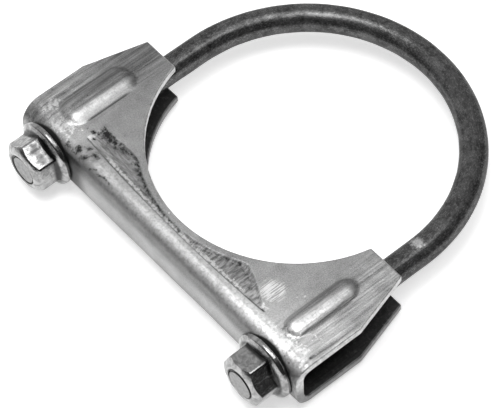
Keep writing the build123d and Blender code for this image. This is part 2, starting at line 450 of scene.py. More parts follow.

# Painted shade lines in the crease and at the ribs' feet: their half widths, where the crease's line ends,
# and the foot lines' strengths
CREASE_LINE_HALF = 0.24
CREASE_LINE_END = (40.2, 39.4)
FOOT_LINE_HALF = 0.33
FOOT_LINE = {-1: 0.9, 1: 0.5}

# Waviness of the grime's outline as (height, size)
DIRT_WAVES = (0.55, 4.5)


def saddle_tone_and_shade(x, y, z, normal):
    """Lightness of the zinc, 1 being plain: wide spots, and painted shade on the web and lower bend: a set
    level, a dark stripe and shade by the left nut.
    """
    tone_and_shade = np.full_like(x, TONE_BASE)
    for px, py, radius, change in TONE_SPOTS:
        tone_and_shade = tone_and_shade + change * np.exp(-((x - px) ** 2 + (y - py) ** 2) / radius**2)
    web = WEB_SHADE_LEVEL + WEB_STRIPE_SHADE * np.exp(-((np.abs(z) - WEB_STRIPE_Z) / 2.0) ** 2)
    nut_side_shade = 1 + BESIDE_NUT_SHADE * smooth_step(-31.0, -37.0, x) * (x > -LEG_X)
    back = smooth_step(0.70, 0.86, -normal[..., 1])
    tone_and_shade = tone_and_shade * (1 - back) + web * nut_side_shade * back
    return np.clip(tone_and_shade, 0.25, 1.5)


def dirt_field(x, y, wavy_x, wavy_y, mark):
    """Grime: a band along the die mark's front edge, a film behind it, a scuff and single spots."""
    edge = line_distance(wavy_x, wavy_y, DIRT_EDGE)
    left = smooth_step(6, -4, x)
    width = 1.1 + 1.2 * left
    band = np.exp(-(edge / width) ** 2) * (0.66 + 0.22 * left)
    film = (0.36 + 0.12 * left) * smooth_step(5.0, 1.0, edge)
    scuff = np.exp(-(line_distance(wavy_x, y, SCUFF) / SCUFF_HALF) ** 2) * smooth_step(-19, -25, x)
    dirt = np.maximum(mark * np.maximum(band, film), 0.95 * scuff)
    return np.maximum(dirt, spots(wavy_x, wavy_y, LEFT_DIRT + RIGHT_DIRT))


def fold_shade_lines(x, y, crease, flat):
    """Painted shade in the sheet's folds: a dark line along the die mark's crease and at the foot on the +X
    side of each rib.
    """
    line = flat * np.exp(-(crease / CREASE_LINE_HALF) ** 2) * smooth_step(*CREASE_LINE_END, np.abs(x))
    bare_line = smooth_step(31, 33, x)
    foot = flat * np.exp(-((rib_across(x) - RIB_HALF - 0.05) / FOOT_LINE_HALF) ** 2)
    foot = foot * np.where(x < 0, FOOT_LINE[-1], FOOT_LINE[1])
    foot = foot * smooth_step(RIB_BACK_Y - 1, RIB_BACK_Y + 2, y)
    foot = foot * smooth_step(RIB_FRONT_Y + 1, RIB_FRONT_Y - 3, y)
    return np.maximum(line * (0.55 + 0.45 * bare_line), foot)


def rub_and_highlight_field(x, y, normal, rise, up, flat):
    """Rubbed bright metal with painted highlight: the +X side of each rib's ridge, and the bend right of a
    rounded start.
    """
    ridge = smooth_step(0.2, RIB_HEIGHT, rise) * flat
    across = x - np.where(x < 0, -LEG_X, LEG_X)
    rib_rub_and_highlight = ridge * smooth_step(-0.4, 1.2, across)
    turned = 1 - np.abs(normal[..., 2])
    start = smooth_step(-32.5, -29.5, x) * smooth_step(-52.6, -50.5, y) + smooth_step(-31, -24, x)
    bend = up * smooth_step(-46.9, -48.4, y) * smooth_step(0.75, 0.2, turned) * np.clip(start, 0, 1)
    return np.maximum(rib_rub_and_highlight, bend)


def nut_shade(x, y, z):
    """Painted shade, partly dirt, on the bend and web close behind the nuts' flanges."""
    across = np.abs(x) - LEG_X
    under_rim = FLANGE_R - np.hypot(across, z) + 0.3
    behind = np.clip(y - WEB_Y, 0, None) + 0.3
    return smooth_step(0.85, 1.25, under_rim / behind) * smooth_step(-0.2, 0.4, under_rim)


def saddle_masks(x, y, z, normal, rise):
    """Fields for the outer skin's material, 0 to 1, with painted light and shade among them. The lightness
    field is halved so that it fits too.
    """
    up = smooth_step(0, 0.25, normal[..., 2])
    flat = (normal[..., 2] > 0.999).astype(float)
    front, crease = mark_inside(x, y)
    mark = flat * smooth_step(-0.3, 0.6, front) * smooth_step(-0.2, 0.2, crease)
    wavy_x = x + DIRT_WAVES[0] * wander(x, y, 21, DIRT_WAVES[1])
    wavy_y = y + DIRT_WAVES[0] * wander(x, y, 22, DIRT_WAVES[1])
    # a bright strip in front of the crease, and painted shade down the left rib's outer side
    strip = mark * np.exp(-((crease - 0.9) / 0.8) ** 2) * smooth_step(33, 28, np.abs(x))
    left_rib_shade = np.exp(-((x + 53.2) / 1.7) ** 2) * smooth_step(-19, -24, y) * smooth_step(-47, -44, y)
    # painted shade behind the nuts' flanges, partly dirt
    seat = nut_shade(x, y, z)
    return {
        "dirt": up * dirt_field(x, y, wavy_x, wavy_y, mark) * (1 - seat),
        "pale": up * np.maximum(0.75 * strip, spots(wavy_x, wavy_y, PALE_SPOTS)),
        # painted shade lines in the crease and at the ribs' feet
        "line": fold_shade_lines(x, y, crease, flat),
        "mark": mark,
        # painted highlight, partly rubbed metal, on the ribs' +X sides and the bend
        "rub_and_highlight": rub_and_highlight_field(x, y, normal, rise, up, flat),
        "seat": seat,
        "left_rib_shade": up * left_rib_shade,
        "tone_and_shade": saddle_tone_and_shade(x, y, z, normal) / 2,
    }


def grid_boundary(columns, rows):
    """Once round a grid's boundary, as (column, row) places."""
    loop = [(i, 0) for i in range(columns)]
    loop += [(columns - 1, j) for j in range(1, rows)]
    loop += [(i, rows - 1) for i in range(columns - 2, -1, -1)]
    loop += [(0, j) for j in range(rows - 2, 0, -1)]
    return loop


def edge_profile():
    """Steps (outwards, down) across the sheet's cut edge, rounded at both skins."""
    depth = SHEET - 2 * EDGE
    steps = [(sin(a) * EDGE, -(1 - cos(a)) * EDGE) for a in np.linspace(0, pi / 2, 6)[1:]]
    steps += [(EDGE, -EDGE - depth * t) for t in (0.33, 0.67, 1)]
    steps += [(cos(a) * EDGE, -EDGE - depth - sin(a) * EDGE) for a in np.linspace(0, pi / 2, 6)[1:-1]]
    return steps


def build_saddle():
    """Pressed channel: outer and inner skins on one grid, joined round the cut edge."""
    base, normal, outs = saddle_sheet()
    columns, rows, _ = base.shape
    x, y, z = np.moveaxis(base, -1, 0)
    on_flange = np.abs(normal[..., 2]) > 0.999
    rise = np.where(on_flange, rib_rise(x, y), 0)
    sink = np.where(on_flange, mark_sink(x, y), 0)
    waves = SHEET_WAVES[0] * wander(x, y + 0.7 * z, 3, SHEET_WAVES[1])
    uneven = waves + SHEET_RIPPLES[0] * wander(x, y + z, 5, SHEET_RIPPLES[1])
    lift = rise - sink + uneven * smooth_step(0, 3, END_X - np.abs(x)) - SKIN_DROP
    outer = base + normal * lift[..., None]
    inner = base + normal * (0.97 * rise - 0.6 * sink - SHEET)[..., None]

    loop = grid_boundary(columns, rows)
    profile = edge_profile()
    rim = []
    for i, j in loop:
        if j in (0, rows - 1):
            out = np.array([outs[i][0], outs[i][1], 0])
        else:
            out = np.array([1.0 if i else -1.0, 0, 0])
        for away, down in profile:
            share = -down / SHEET
            start = outer[i, j] * (1 - share) + inner[i, j] * share
            rim.append(start + out * away)
    rim = np.array(rim)

    count = columns * rows
    skin = grid_faces(columns, rows)
    faces = [skin, skin[:, ::-1] + count]
    steps = len(profile)
    here = np.arange(len(loop))
    after = (here + 1) % len(loop)
    edge_index = np.array([i * rows + j for i, j in loop])
    rings = [edge_index] + [2 * count + here * steps + k for k in range(steps)] + [edge_index + count]
    for a, b in zip(rings[:-1], rings[1:]):
        faces.append(np.stack([a[here], b[here], b[after], a[after]], 1))
    points = np.concatenate([outer.reshape(-1, 3), inner.reshape(-1, 3), rim])

    masks = {}
    skin_zero = np.zeros(count)
    rim_one = np.ones(len(rim))
    for key, values in saddle_masks(x, y, z, normal, rise).items():
        plain = 0.5 if key == "tone_and_shade" else 0.0
        masks[key] = np.concatenate([values.ravel(), skin_zero + plain, rim_one * plain])
    # marks the inner skin, which the material darkens as painted shade
    masks["inside"] = np.concatenate([skin_zero, skin_zero + 1, rim_one * 0])
    masks["cut_edge"] = np.concatenate([skin_zero, skin_zero, rim_one])
    obj = make_object("saddle_shell", points, np.concatenate(faces), masks)
    punch_leg_holes(obj)
    clean(obj, 38)
    return obj


def punch_leg_holes(obj):
    """Cuts the leg holes through the web."""
    bm = bmesh.new()
    for side in (-1, 1):
        made = bmesh.ops.create_cone(bm, cap_ends=True, segments=AROUND, radius1=HOLE_R * MM,
                                     radius2=HOLE_R * MM, depth=3 * SHEET * MM)
        centre = Vector((side * LEG_X, WEB_Y + SHEET / 2, 0)) * MM
        bmesh.ops.rotate(bm, verts=made["verts"], matrix=Matrix.Rotation(radians(90), 3, "X"))
        bmesh.ops.translate(bm, verts=made["verts"], vec=centre)
    mesh = bpy.data.meshes.new("punch")
    bm.to_mesh(mesh)
    bm.free()
    punch = bpy.data.objects.new("punch", mesh)
    bpy.context.scene.collection.objects.link(punch)
    cut = obj.modifiers.new("leg_holes", "BOOLEAN")
    cut.operation = "DIFFERENCE"
    cut.solver = "EXACT"
    cut.object = punch
    graph = bpy.context.evaluated_depsgraph_get()
    result = bpy.data.meshes.new_from_object(obj.evaluated_get(graph))
    obj.modifiers.clear()
    obj.data = result
    bpy.data.objects.remove(punch)


# ---------------------------------------------------------------- threads and U-bolt

# Places of the mesh rows along one pitch, closer together at the crest's and root's corners
THREAD_SAMPLES = np.array([0, 0.045, 0.075, 0.14, 0.24, 0.33, 0.375, 0.42,
                           0.5, 0.58, 0.625, 0.67, 0.76, 0.86, 0.925, 0.955])


def tooth(phase, crest, root):
    """Radius of a 60 degree thread at a share of the pitch from the tooth's middle, with eased corners."""
    off = np.abs((phase + 0.5) % 1.0 - 0.5)
    flank = crest - (off - CREST_HALF) * PITCH / tan(radians(FLANK_ANGLE))
    return smooth_max(smooth_min(flank, crest, THREAD_SOFTNESS), root, THREAD_SOFTNESS)


def helix_grid(length, angles):
    """Heights of a grid sheared along the thread's helix: (angle, row), clamped to the threaded length."""
    turns = ceil(length / PITCH) + 2
    rows = np.concatenate([THREAD_SAMPLES + t for t in range(-1, turns)]) * PITCH
    height = rows[None, :] + PITCH * angles[:, None] / (2 * pi)
    return np.clip(height, 0, length)


def helix_faces(columns, rows):
    """Quads of a helical grid: past the last angle a column joins the first, one turn further on."""
    per_turn = len(THREAD_SAMPLES)
    faces = list(grid_faces(columns, rows))
    faces.append([(columns - 1) * rows, per_turn - 1, per_turn])
    for j in range(rows - 1 - per_turn):
        a = (columns - 1) * rows + j
        b = j + per_turn
        faces.append([a, b, b + 1, a + 1])
    return faces


def leg_frame(side):
    """Turns (radius across x, radius across -z, height) into row-frame points on a leg."""
    def place(across, down, height):
        return np.stack([side * LEG_X + across, LEG_END_Y[side] + height, -down], -1)
    return place


def threaded_leg(side):
    """Threaded end of a leg with its chamfered tip."""
    angles = np.arange(AROUND) * 2 * pi / AROUND
    height = helix_grid(THREAD_LENGTH, angles)
    phase = (height - PITCH * angles[:, None] / (2 * pi)) / PITCH
    radius = tooth(phase, ROD_CREST_R, ROD_ROOT_R)
    fade = smooth_step(RUN_OUT_START, THREAD_LENGTH, height)
    radius = radius * (1 - fade) + SHANK_R * fade
    tip = ROD_CREST_R - ROD_CHAMFER + height
    radius = smooth_min(radius, tip, 0.05)
    place = leg_frame(side)
    across = radius * np.cos(angles)[:, None]
    down = radius * np.sin(angles)[:, None]
    points = place(across, down, height)
    columns, rows, _ = points.shape
    faces = helix_faces(columns, rows)
    flat = list(points.reshape(-1, 3))
    along = list(height.ravel())
    # the tip's face, in rings with a faint dip
    ring = [i * rows for i in range(columns)]
    for share in (0.93, 0.6, 0.3):
        dip = TIP_DIP * (1 - share)
        new = []
        for i, a in enumerate(angles):
            r = radius[i, 0] * share
            new.append(len(flat))
            flat.append(place(np.array(r * cos(a)), np.array(r * sin(a)), np.array(dip)))
            along.append(0.0)
        for i in range(columns):
            k = (i + 1) % columns
            faces.append([ring[i], ring[k], new[k], new[i]])
        ring = new
    faces.append(ring)
    return np.array(flat), faces, np.array(along)


def rod_path():
    """Rings of the plain rod, from the right thread to the left one: centre, radial direction, length."""
    right_end = LEG_END_Y[1] + THREAD_LENGTH
    straight = BEND_CENTRE_Y - right_end
    rings = []
    for t in np.linspace(0, 1, 60)[:-1]:
        rings.append((LEG_X, right_end + t * straight, 1.0, 0.0, THREAD_LENGTH + t * straight))
    for a in np.linspace(0, pi, 241):
        length = THREAD_LENGTH + straight + a * LEG_X
        rings.append((LEG_X * cos(a), BEND_CENTRE_Y + LEG_X * sin(a), cos(a), sin(a), length))
    far = THREAD_LENGTH + straight + pi * LEG_X
    straight = BEND_CENTRE_Y - (LEG_END_Y[-1] + THREAD_LENGTH)
    for t in np.linspace(0, 1, 60)[1:]:
        rings.append((-LEG_X, BEND_CENTRE_Y - t * straight, -1.0, 0.0, far + t * straight))
    return rings


def rod_surface(rings, angles):
    """Points of the plain rod, with dents that fade out at the threads, and their lengths along it."""
    wrap = np.sin(angles / 2) ** 0.5
    zero = 0 * angles
    points = []
    along = []
    for k, (cx, cy, rx, ry, length) in enumerate(rings):
        from_end = min(k, len(rings) - 1 - k)
        ease = min(1.0, from_end / 12)
        dents = DENT * wander(4 * angles, length + zero, 11, 9)
        dents = dents + FINE_DENT * wander(3 * angles, length / 2 + zero, 12, 11)
        radius = SHANK_R + ease * (dents * wrap - ROD_DROP)
        out = radius * np.cos(angles)
        points.append(np.stack([cx + out * rx, cy + out * ry, -radius * np.sin(angles)], 1))
        along.append(np.full(AROUND, length))
    return np.concatenate(points), np.concatenate(along)


def build_u_bolt():
    """Bent rod with threaded legs, as one closed mesh with along, around and tip masks."""
    angles = np.arange(AROUND) * 2 * pi / AROUND
    rings = rod_path()
    total = rings[-1][4] + THREAD_LENGTH
    points, along = rod_surface(rings, angles)
    i, j = np.meshgrid(np.arange(len(rings) - 1), np.arange(AROUND), indexing="ij")
    here = (i * AROUND + j).ravel()
    beside = (i * AROUND + (j + 1) % AROUND).ravel()
    faces = [list(f) for f in np.stack([here, beside, beside + AROUND, here + AROUND], 1)]
    for side in (1, -1):
        leg, leg_faces, leg_along = threaded_leg(side)
        shift = len(points)
        points = np.concatenate([points, leg])
        along = np.concatenate([along, leg_along if side > 0 else total - leg_along])
        faces += [[int(v) + shift for v in f] for f in leg_faces]
    # around: distance round the section from the inside of the bend
    x, y, z = points.T
    radial = np.where(y > BEND_CENTRE_Y, np.hypot(x, y - BEND_CENTRE_Y), np.abs(x)) - LEG_X
    around = np.arctan2(z, radial) * SHANK_R
    off_axis = np.hypot(np.abs(x) - LEG_X, z)
    end_y = np.where(x < 0, LEG_END_Y[-1], LEG_END_Y[1])
    tip = ((y < end_y + 0.12) & (off_axis < ROD_CREST_R - ROD_CHAMFER + 0.02)).astype(float)
    obj = make_object("u_bolt_rod", points, faces, {"along": along, "around": around, "tip": tip})
    clean(obj, 50)
    return obj


# ---------------------------------------------------------------- nuts

def nut_angles(turn):
    """Angles round a nut, closer together at the hex corners."""
    before = np.linspace(-30, -5, 10)[:-1]
    corner = np.linspace(-5, 5, 11)[:-1]
    behind = np.linspace(5, 30, 10)[:-1]
    steps = np.concatenate([before, corner, behind])
    return np.radians(np.concatenate([turn + 60 * k + steps for k in range(6)]) % 360)


def hex_radius(angles, turn):
    """Radius of a hexagon with rounded corners, whose first corner is at the turn angle."""
    half = ACROSS_FLATS / 2
    from_corner = (np.degrees(angles) - turn + 30) % 60 - 30
    a = np.radians(np.abs(from_corner))
    flat = half / np.cos(radians(30) - a)
    centre = (half - CORNER_ROUND) / cos(radians(30))
    inside = np.clip(CORNER_ROUND**2 - (centre * np.sin(a)) ** 2, 0, None)
    round_corner = centre * np.cos(a) + np.sqrt(inside)
    tangent = atan2(CORNER_ROUND * sin(radians(30)), centre + CORNER_ROUND * cos(radians(30)))
    return np.where(a < tangent, round_corner, flat)


def nut_outside(hexagon, face_drop):
    """Rows (radius, height) of one column, from the countersink over the outside to the bearing face."""
    cone_slope = (CONE_TOP - FLANGE_RIM) / (FLANGE_R - 0.5 - CONE_TOP_R)
    rows = [(SINK_R, 0.0), (SINK_R + SINK_LAND, 0.0)]
    # domed face, falling further towards the corners
    drop = face_drop + CORNER_DROP * (hexagon - ACROSS_FLATS / 2)
    for t in np.linspace(0, 1, 15):
        rows.append((FACE_R + (hexagon - FACE_R) * t, drop * t**FACE_POWER))
    # flat of the hexagon and the fillet at its foot
    meet = NUT_HEIGHT - CONE_TOP + (hexagon - CONE_TOP_R) * cone_slope
    flat = meet - FILLET_HEIGHT - drop
    rows += [(hexagon, drop + flat * t) for t in (0.03, 0.1, 0.3, 0.5, 0.7, 0.9, 1.0)]
    for a in np.linspace(0, 1, 7)[1:]:
        reach = FILLET_REACH * a * a
        rows.append((hexagon + reach, meet - FILLET_HEIGHT + FILLET_HEIGHT * a + reach * cone_slope * a))
    # cone of the flange, its rounded rim and the bearing face
    start = hexagon + FILLET_REACH
    stop = FLANGE_R - RIM_ROUND
    for t in np.linspace(0, 1, 9)[1:]:
        r = start + (stop - start) * t
        rows.append((r, NUT_HEIGHT - CONE_TOP + (r - CONE_TOP_R) * cone_slope))
    cone_end = rows[-1][1]
    for a in np.linspace(0, pi / 2, 8)[1:]:
        fall = RIM_ROUND * (1 - cos(a)) + RIM_LEAN * sin(a)
        rows.append((stop + RIM_ROUND * sin(a), cone_end + fall))
    lower = NUT_HEIGHT - RIM_EDGE
    rows.append((FLANGE_R, lower - RIM_BAND))
    for a in np.linspace(0, pi / 2, 6):
        rows.append((FLANGE_R - RIM_EDGE * (1 - cos(a)), lower + RIM_EDGE * sin(a)))
    rows += [(r, NUT_HEIGHT) for r in BEARING_RINGS + (SINK_R + SINK_LAND, SINK_R)]
    return np.array(rows)


def nut_bore(angles, side):
    """Threaded bore on a helical grid: radius and height arrays (angle, row)."""
    recess = LEG_END_Y[side] - NUT_FACE_Y
    height = helix_grid(NUT_HEIGHT, angles)
    phase = (height - recess - PITCH * angles[:, None] / (2 * pi)) / PITCH
    radius = tooth(phase, NUT_ROOT_R, NUT_CREST_R)
    slope = (SINK_R - NUT_CREST_R) / SINK_DEPTH
    sink = np.maximum(SINK_R - height * slope, SINK_R - (NUT_HEIGHT - height) * slope)
    return np.maximum(radius, sink), height


def build_nut(node, side):
    """Hex flange nut as one closed mesh on one set of angles."""
    turn = HEX_TURN[node]
    angles = np.sort(nut_angles(turn))
    outside = np.array([nut_outside(h, FACE_DROP[node]) for h in hex_radius(angles, turn)])
    columns, rows, _ = outside.shape
    faces = [list(f) for f in grid_faces(columns, rows, wrap=True)]
    # the thread winds about +Y from +X towards -Z, so the bore's columns run the other way round
    bore_angles = np.sort(-angles % (2 * pi))
    bore_r, bore_h = nut_bore(bore_angles, side)
    shift = columns * rows
    faces += [[int(v) + shift for v in f] for f in helix_faces(columns, bore_r.shape[1])]

    def place(radius, height, around):
        across = side * LEG_X + radius * np.cos(around)[:, None]
        up = radius * np.sin(around)[:, None]
        return np.stack([across, NUT_FACE_Y + height, up], -1).reshape(-1, 3)

    skin = place(outside[..., 0], outside[..., 1], angles)
    points = np.concatenate([skin, place(bore_r, bore_h, -bore_angles)])
    off_axis = np.hypot(points[:, 0] - side * LEG_X, points[:, 2])
    # painted shade in the bore and round the foot of the hexagon
    bore = smooth_step(SINK_R + 0.02, SINK_R - 0.1, off_axis)
    corner_y = NUT_FACE_Y + NUT_HEIGHT - CONE_TOP
    corner = smooth_step(1.25, 0.35, np.abs(points[:, 1] - corner_y - 0.25))
    corner = 0.92 * corner * smooth_step(9.5, 8.7, off_axis) * (off_axis > SINK_R + 0.3)
    obj = make_object(node + "_body", points, faces, {"bore_corner_shade": np.maximum(bore, corner)})
    clean(obj, 50)
    return obj


# ---------------------------------------------------------------- material helpers

class Tree:
    """Nodes added to a node tree by short calls."""

    def __init__(self, tree):
        self.tree = tree
        self.tree.nodes.clear()

    def node(self, kind, inputs=None, **settings):
        """Adds a node. Inputs go by name or number."""
        made = self.tree.nodes.new(kind)
        for key, value in settings.items():
            setattr(made, key, value)
        for key, value in (inputs or {}).items():
            self.feed(made.inputs[key], value)
        return made

    def feed(self, socket, value):
        """Links an output to a socket, or sets the socket's own value."""
        if isinstance(value, bpy.types.NodeSocket):
            self.tree.links.new(value, socket)
        else:
            socket.default_value = value

    def vector(self, operation, a, b):
        return self.node("ShaderNodeVectorMath", {0: a, 1: b}, operation=operation).outputs[0]

    def math(self, operation, a, b=0.0):
        return self.node("ShaderNodeMath", {0: a, 1: b}, operation=operation).outputs[0]

    def ramp(self, value, low, high, out_low=0.0, out_high=1.0):
        """Smooth change from out_low to out_high as the value goes from low to high."""
        inputs = {"Value": value, "From Min": low, "From Max": high, "To Min": out_low, "To Max": out_high}
        made = self.node("ShaderNodeMapRange", inputs, interpolation_type="SMOOTHSTEP")
        return made.outputs["Result"]


class Shader(Tree):
    """A material made of nodes. Distances inside it are in mm."""

    def __init__(self, name):
        self.material = bpy.data.materials.new(name)
        self.material.use_nodes = True
        super().__init__(self.material.node_tree)
        where = self.node("ShaderNodeTexCoord").outputs["Object"]
        self.place = self.vector("MULTIPLY", where, (1 / MM, 1 / MM, 1 / MM))

    def mask(self, name):
        """The mesh's own mask of that name."""
        return self.node("ShaderNodeAttribute", attribute_name=name).outputs["Fac"]

    def noise(self, scale, detail=2.0, rough=0.5, stretch=(1, 1, 1), place=None, shift=0.0, warp=0.0):
        """Noise with features 1 / scale mm across, stretched by dividing the place."""
        at = self.vector("MULTIPLY", place or self.place, tuple(1 / k for k in stretch))
        at = self.vector("ADD", at, (shift, shift * 0.7, shift * 1.3))
        inputs = {"Vector": at, "Scale": scale, "Detail": detail, "Roughness": rough, "Distortion": warp}
        return self.node("ShaderNodeTexNoise", inputs).outputs["Fac"]

    def around(self, value, amount):
        """The value's swing about one half, times an amount."""
        return self.math("MULTIPLY", self.math("SUBTRACT", value, 0.5), amount)

    def mix(self, share, a, b):
        """Number between a and b."""
        inputs = {"Factor": share, "A": a, "B": b}
        return self.node("ShaderNodeMix", inputs, data_type="FLOAT").outputs["Result"]

    def near(self, point, radius, soft, wobble=None):
        """One inside a round patch of the row frame's XY plane, fading to nothing outside it."""
        flat = self.vector("MULTIPLY", self.place, (1, 1, 0))
        ends = {0: flat, 1: (point[0], point[1], 0)}
        distance = self.node("ShaderNodeVectorMath", ends, operation="DISTANCE").outputs["Value"]
        if wobble is not None:
            distance = self.math("ADD", distance, wobble)
        return self.ramp(distance, radius, radius + soft, 1.0, 0.0)

    def grey(self, value):
        """Grey colour from a number."""
        return self.node("ShaderNodeCombineColor", {"Red": value, "Green": value, "Blue": value}).outputs[0]

    def finish(self, colour, metallic, roughness, bumps, **extra):
        """Principled surface. Each bump is (height in mm, strength), laid over the one before it."""
        normal = None
        for height, strength in bumps:
            inputs = {"Height": height, "Strength": strength, "Distance": MM}
            if normal is not None:
                inputs["Normal"] = normal
            normal = self.node("ShaderNodeBump", inputs).outputs["Normal"]
        inputs = {"Base Color": colour, "Metallic": metallic, "Roughness": roughness}
        if normal is not None:
            inputs["Normal"] = normal
        inputs.update(extra)
        surface = self.node("ShaderNodeBsdfPrincipled", inputs)
        self.node("ShaderNodeOutputMaterial", {"Surface": surface.outputs[0]})
        return self.material


def saddle_material():
    """Zinc-plated pressed steel: streaks on the ears, a rubbed bend and rib ridges with painted highlight,
    bare flakes, black grime, and painted shade inside, in the folds, on the web and behind the nuts.
    """
    s = Shader("saddle_zinc")
    axes = s.node("ShaderNodeSeparateXYZ", {"Vector": s.place}).outputs
    ear = s.ramp(s.math("ABSOLUTE", axes["X"]), 41.0, 50.0)
    grain = s.noise(3.2, 3, 0.65)
    fleck = s.noise(0.75, 6, 0.75, shift=31)
    flake = s.noise(1.05, 5, 0.72, shift=57)
    cloud = s.noise(0.11, 4, 0.6, warp=0.5)
    streak = s.noise(0.62, 4, 0.6, stretch=(1, 20, 1), shift=7)
    hair = s.noise(2.0, 3, 0.6, stretch=(1, 26, 1), shift=19)
    stroke = s.noise(1.5, 3, 0.6, stretch=(1, 5, 1), shift=71)

    dirt = s.mask("dirt")
    pale = s.mask("pale")
    rub_and_highlight = s.mask("rub_and_highlight")
    mark = s.mask("mark")
    inside = s.mask("inside")
    cut = s.mask("cut_edge")

    # plain zinc with streaks on the ears, strokes in the die mark, rubbed places lightened as painted
    # highlight, bare places, and the cut edge
    value = s.ramp(cloud, 0.3, 0.7, 0.40, 0.50)
    value = s.math("ADD", value, s.around(grain, 0.72))
    value = s.math("ADD", value, s.math("MULTIPLY", s.around(streak, 0.9), s.mix(ear, 0.06, 1.0)))
    value = s.math("ADD", value, s.math("MULTIPLY", s.around(hair, 0.52), s.mix(ear, 0.10, 1.0)))
    # painted shade down the left rib's outer side, broken up by the streak noise
    value = s.mix(s.math("MULTIPLY", s.mask("left_rib_shade"), s.ramp(streak, 0.35, 0.6, 1.0, 0.3)), value, 0.26)
    drag = s.noise(1.1, 5, 0.68, stretch=(5, 1, 1), shift=83)
    strokes = s.mix(s.ramp(axes["X"], 2.0, 9.0), drag, stroke)
    value = s.mix(s.math("MULTIPLY", mark, 0.8), value, s.ramp(strokes, 0.35, 0.65, 0.14, 0.54))
    # painted highlight, partly rubbed metal: lighter on the ribs' +X sides and the bend
    value = s.mix(rub_and_highlight, value, s.ramp(flake, 0.3, 0.62, 0.48, 0.80))
    bare = s.ramp(s.math("ADD", flake, s.math("MULTIPLY", pale, 0.36)), 0.66, 0.78)
    value = s.mix(s.math("MULTIPLY", bare, 0.9), value, 0.86)
    lower_darker = s.ramp(axes["Z"], -3.0, 3.0, 0.15, 0.52)
    cut_value = s.math("MULTIPLY", lower_darker, s.ramp(fleck, 0.3, 0.7, 0.6, 1.4))
    value = s.mix(s.math("MULTIPLY", cut, 0.85), value, cut_value)
    # times the lightness field, which holds painted shade on the web and beside the left nut
    value = s.math("MULTIPLY", value, s.math("MULTIPLY", s.mask("tone_and_shade"), 2.0))

    # black grime over that, and painted shade lines in the crease and at the ribs' feet
    grime = s.ramp(s.math("ADD", fleck, s.math("MULTIPLY", dirt, 0.34)), 0.62, 0.90)
    grime = s.math("MULTIPLY", grime, s.mix(s.math("MAXIMUM", inside, cut), 1.0, 0.3))
    film = s.math("MULTIPLY", dirt, 0.35)
    line = s.math("MULTIPLY", s.mask("line"), s.ramp(fleck, 0.22, 0.40))
    grime = s.math("MAXIMUM", s.math("MAXIMUM", grime, film), line)
    value = s.mix(grime, value, 0.028)

    # fine scratches beside the die mark, the inner skin darkened as painted shade, and painted shade behind
    # the nuts
    scratch = s.noise(2.3, 2, 0.5, stretch=(1, 14, 1), shift=43)
    zone = s.near((36.0, -40.6), 2.5, 2.0, s.around(fleck, 5.0))
    scratches = s.math("MULTIPLY", zone, s.ramp(scratch, 0.46, 0.53))
    value = s.mix(scratches, value, 0.78)
    # the inner skin darkened as painted shade inside the channel
    value = s.mix(s.math("MULTIPLY", inside, 0.9), value, s.ramp(fleck, 0.5, 0.75, 0.035, 0.16))
    # painted shade behind the nuts' flanges
    value = s.mix(s.mask("seat"), value, 0.015)

    rough = s.math("ADD", 0.42, s.around(grain, 0.2))
    rough = s.mix(rub_and_highlight, rough, 0.40)
    rough = s.mix(grime, rough, 0.75)
    rough = s.mix(inside, rough, 0.6)
    metal = s.mix(s.math("MAXIMUM", grime, s.mask("seat")), 1.0, 0.4)
    bumps = [
        (grain, 0.07),
        (fleck, 0.10),
        (streak, s.mix(ear, 0.03, 0.25)),
        (hair, s.mix(ear, 0.02, 0.10)),
        (grime, 0.05),
    ]
    matt = {"Specular IOR Level": s.mix(grime, 0.5, 0.2)}
    return s.finish(s.grey(value), metal, rough, bumps, **matt)


def rod_material():
    """Dark hot-rolled steel: mottled scale with pale flecks, drawing lines along the rod, sawn ends."""
    s = Shader("rod_scale")
    flow = s.node("ShaderNodeCombineXYZ", {"X": s.mask("along"), "Y": s.mask("around")}).outputs[0]
    tip = s.mask("tip")
    mottle = s.noise(0.30, 4, 0.62, warp=0.6)
    speckle = s.noise(2.1, 4, 0.72, stretch=(1.6, 1, 1), place=flow, shift=5)
    drawn = s.noise(0.9, 3, 0.6, stretch=(22, 1, 1), place=flow, shift=2)
    fleck = s.noise(1.1, 4, 0.7, shift=23)
    value = s.ramp(mottle, 0.32, 0.68, 0.062, 0.125)
    value = s.math("ADD", value, s.around(drawn, 0.09))
    value = s.math("ADD", value, s.around(speckle, 0.26))
    value = s.math("MAXIMUM", value, 0.02)
    # a worn spot near the right ear, single bare flecks and the pale ends
    wear = s.near((48.3, 2.2), 0.9, 1.6, s.around(fleck, 4.0))
    bare = s.math("MAXIMUM", s.math("MULTIPLY", s.ramp(fleck, 0.62, 0.74), 0.45), wear)
    value = s.mix(bare, value, 0.5)
    value = s.mix(tip, value, s.ramp(fleck, 0.3, 0.7, 0.20, 0.38))
    rough = s.ramp(speckle, 0.3, 0.7, 0.20, 0.30)
    rough = s.mix(tip, rough, 0.42)
    bumps = [(mottle, 0.07), (speckle, 0.035), (fleck, 0.05), (drawn, 0.03)]
    dark_rim = {"Specular IOR Level": 0.6, "Specular Tint": s.grey(s.mix(tip, 0.3, 1.0))}
    return s.finish(s.grey(value), s.mix(tip, 0.65, 1.0), rough, bumps, **dark_rim)


